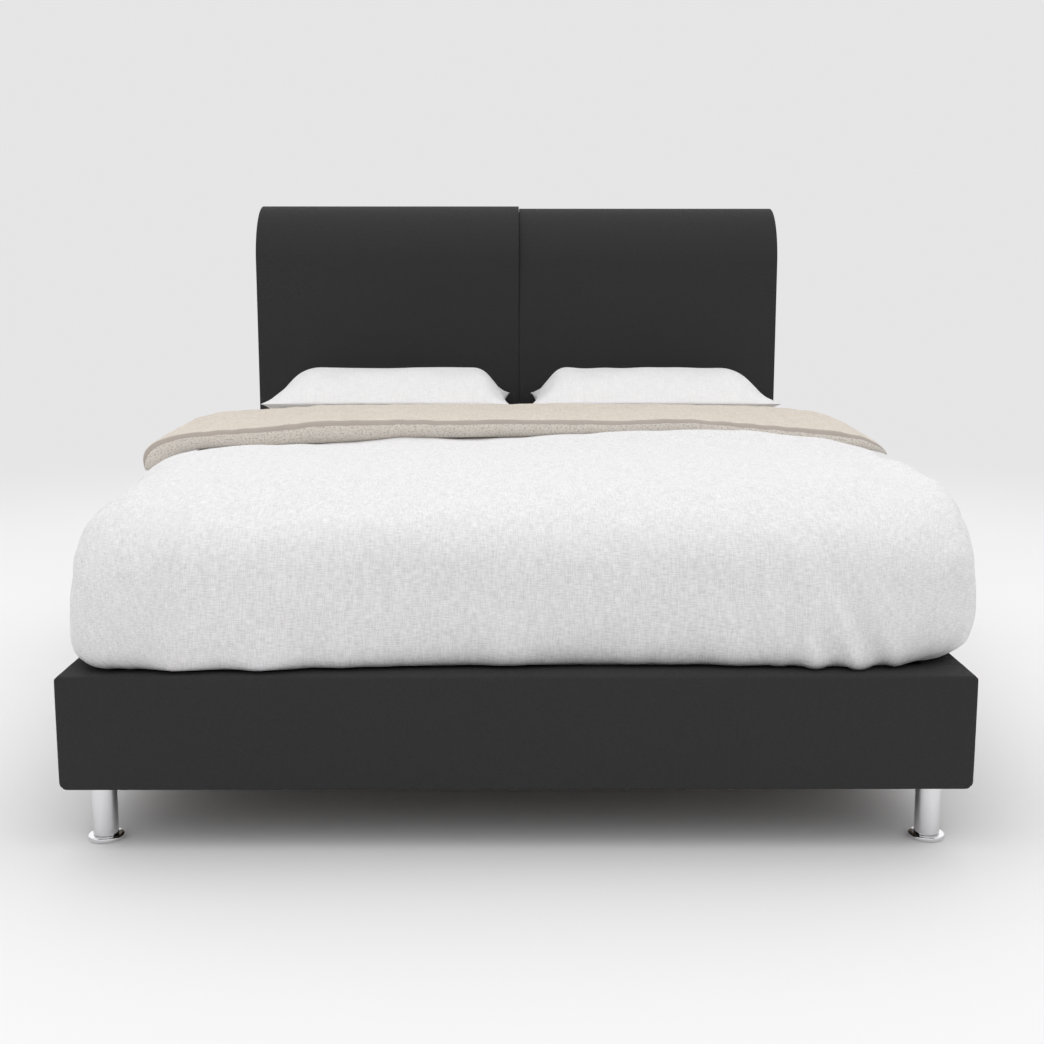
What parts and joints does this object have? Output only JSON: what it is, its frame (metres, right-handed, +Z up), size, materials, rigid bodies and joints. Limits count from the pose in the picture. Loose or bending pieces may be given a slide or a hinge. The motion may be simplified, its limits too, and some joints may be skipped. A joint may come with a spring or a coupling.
{
  "type": "sleigh bed",
  "caption": "Double bed with a padded leather frame on chrome tube legs, a two-part headboard that rolls back at the top, a slat base, mattress, duvet and pillows.",
  "frame": {"origin": "on the floor, at the middle of the bed's length and width", "axes": "+Z up; +Y from the foot to the head; +X to the right of someone who looks from the foot to the head"},
  "size_m": [1.7952, 2.3588, 1.2249],
  "materials": {
    "black_leather": "satin",
    "chrome": "polished",
    "timber": "matte",
    "plywood": "satin",
    "black_steel": "satin",
    "zinc": "satin",
    "black_plastic": "matte",
    "black_lining": "matte",
    "ticking": "matte",
    "white_linen": "matte",
    "beige_linen": "matte"
  },
  "bodies": {
    "bed": {"foot_rail_core": "timber", "foot_rail_cover": "black_leather", "left_rail_core": "timber", "left_rail_cover": "black_leather", "right_rail_core": "timber", "right_rail_cover": "black_leather", "head_rail": "timber", "foot_left_bracket": "black_steel", "foot_right_bracket": "black_steel", "head_left_bracket": "black_steel", "head_right_bracket": "black_steel", "front_left_leg": "chrome", "front_right_leg": "chrome", "rear_left_leg": "chrome", "rear_right_leg": "chrome", "slat_01": "plywood", "slat_02": "plywood", "slat_03": "plywood", "slat_04": "plywood", "slat_05": "plywood", "slat_06": "plywood", "slat_07": "plywood", "slat_08": "plywood", "slat_09": "plywood", "slat_10": "plywood", "slat_11": "plywood", "slat_12": "plywood", "slat_13": "plywood", "slat_14": "plywood", "left_slat_ledge": "timber", "left_slat_holders": "black_plastic", "right_slat_ledge": "timber", "right_slat_holders": "black_plastic", "centre_beam": "black_steel", "foot_beam_saddle": "black_steel", "head_beam_saddle": "black_steel", "centre_leg": "black_steel", "headboard_left_core": "plywood", "headboard_left_cover": "black_leather", "headboard_left_back": "black_lining", "headboard_right_core": "plywood", "headboard_right_cover": "black_leather", "headboard_right_back": "black_lining", "headboard_bolt_1": "zinc", "headboard_bolt_2": "zinc", "headboard_bolt_3": "zinc", "headboard_bolt_4": "zinc", "mattress": "ticking", "duvet": "white_linen", "turned_back_blanket": "beige_linen", "left_pillow": "white_linen", "right_pillow": "white_linen"},
    "front_left_foot": {"front_left_foot": "chrome"},
    "front_right_foot": {"front_right_foot": "chrome"},
    "rear_left_foot": {"rear_left_foot": "chrome"},
    "rear_right_foot": {"rear_right_foot": "chrome"},
    "centre_foot": {"centre_foot": "black_plastic"}
  },
  "joints": [
    {"name": "front_left_foot_level", "type": "slide", "parent": "bed", "child": "front_left_foot", "axis": [0, 0, -1], "range_m": [0, 0.015]},
    {"name": "front_right_foot_level", "type": "slide", "parent": "bed", "child": "front_right_foot", "axis": [0, 0, -1], "range_m": [0, 0.015]},
    {"name": "rear_left_foot_level", "type": "slide", "parent": "bed", "child": "rear_left_foot", "axis": [0, 0, -1], "range_m": [0, 0.015]},
    {"name": "rear_right_foot_level", "type": "slide", "parent": "bed", "child": "rear_right_foot", "axis": [0, 0, -1], "range_m": [0, 0.015]},
    {"name": "centre_foot_level", "type": "slide", "parent": "bed", "child": "centre_foot", "axis": [0, 0, -1], "range_m": [0, 0.015]}
  ]
}
